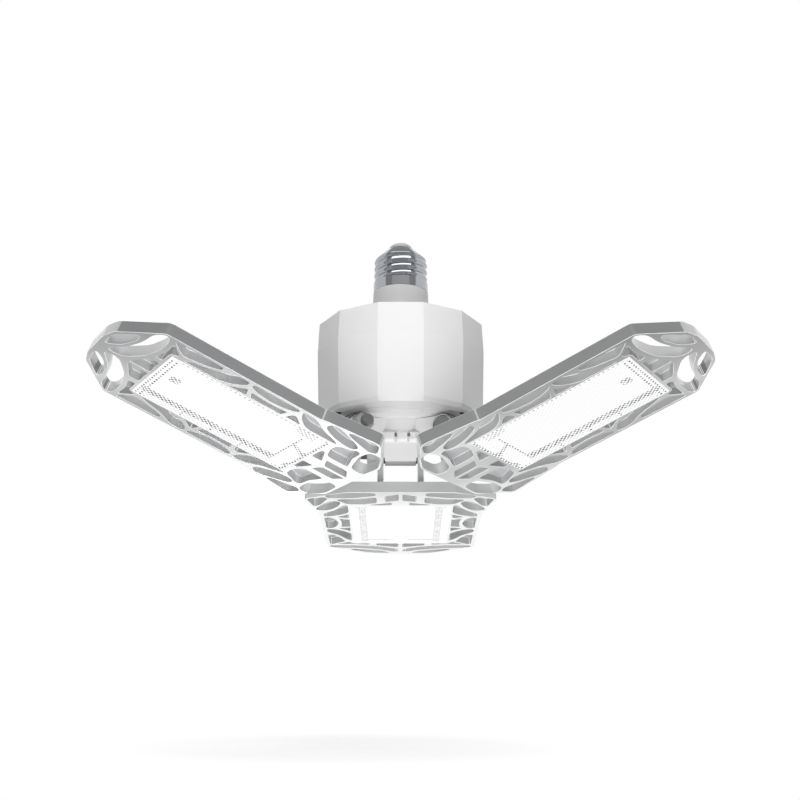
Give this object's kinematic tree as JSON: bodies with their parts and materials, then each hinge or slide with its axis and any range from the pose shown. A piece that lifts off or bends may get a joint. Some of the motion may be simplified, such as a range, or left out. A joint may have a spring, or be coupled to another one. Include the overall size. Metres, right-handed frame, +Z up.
{
  "type": "led utility light",
  "caption": "Screw-in ceiling lamp: a faceted white housing whose hub carries hinged, latticed light panels with lit prism lenses that tilt and fold upward.",
  "frame": {"origin": "on the lamp's axis, at the lower edge of the metal screw shell", "axes": "+Z up along the lamp's axis, towards the socket; +Y towards the rear panel, so the front gap between the side panels faces -Y"},
  "size_m": [0.2756, 0.2505, 0.1273],
  "materials": {
    "contact_metal": "solder-bright",
    "dark_insulator": "glassy",
    "screw_metal": "bright rolled sheet",
    "white_plastic": "satin moulded",
    "zinc_screw": "zinc plated",
    "hinge_metal": "machined",
    "black_rubber": "matte",
    "circuit_board": "lacquered",
    "transformer_core": "taped",
    "capacitor_can": "sleeved",
    "panel_casting": "silver paint, satin",
    "light_board": "white lacquer",
    "diode": "phosphor",
    "lens": "prismatic, lit",
    "dark_steel": "blackened",
    "black_washer": "nylon"
  },
  "bodies": {
    "lamp_body": {"centre_contact": "contact_metal", "base_insulator": "dark_insulator", "screw_shell": "screw_metal", "base_collar": "white_plastic", "housing_cap": "white_plastic", "housing_shell": "white_plastic", "lower_cover": "white_plastic", "hinge_hub": "white_plastic", "hub_screws": "zinc_screw", "hinge_barrels": "hinge_metal", "wire_grommets": "black_rubber", "driver_board": "circuit_board", "transformer": "transformer_core", "capacitors": "capacitor_can"},
    "panel_left": {"frame_left": "panel_casting", "board_left": "light_board", "diodes_left": "diode", "board_screws_left": "zinc_screw", "lens_left": "lens", "hinge_screw_left": "dark_steel", "hinge_nut_left": "dark_steel", "hinge_washers_left": "black_washer"},
    "panel_right": {"frame_right": "panel_casting", "board_right": "light_board", "diodes_right": "diode", "board_screws_right": "zinc_screw", "lens_right": "lens", "hinge_screw_right": "dark_steel", "hinge_nut_right": "dark_steel", "hinge_washers_right": "black_washer"},
    "panel_rear": {"frame_rear": "panel_casting", "board_rear": "light_board", "diodes_rear": "diode", "board_screws_rear": "zinc_screw", "lens_rear": "lens", "hinge_screw_rear": "dark_steel", "hinge_nut_rear": "dark_steel", "hinge_washers_rear": "black_washer"}
  },
  "joints": [
    {"name": "left_panel_tilt", "type": "hinge", "parent": "lamp_body", "child": "panel_left", "pos_m": [-0.02425, -0.014, -0.074], "axis": [-0.5, 0.866, 0], "range_deg": [-22.8, 70.2]},
    {"name": "right_panel_tilt", "type": "hinge", "parent": "lamp_body", "child": "panel_right", "pos_m": [0.02425, -0.014, -0.074], "axis": [-0.5, -0.866, 0], "range_deg": [-22.8, 70.2]},
    {"name": "rear_panel_tilt", "type": "hinge", "parent": "lamp_body", "child": "panel_rear", "pos_m": [0, 0.028, -0.074], "axis": [1, 0, 0], "range_deg": [-1.2, 91.8]}
  ]
}
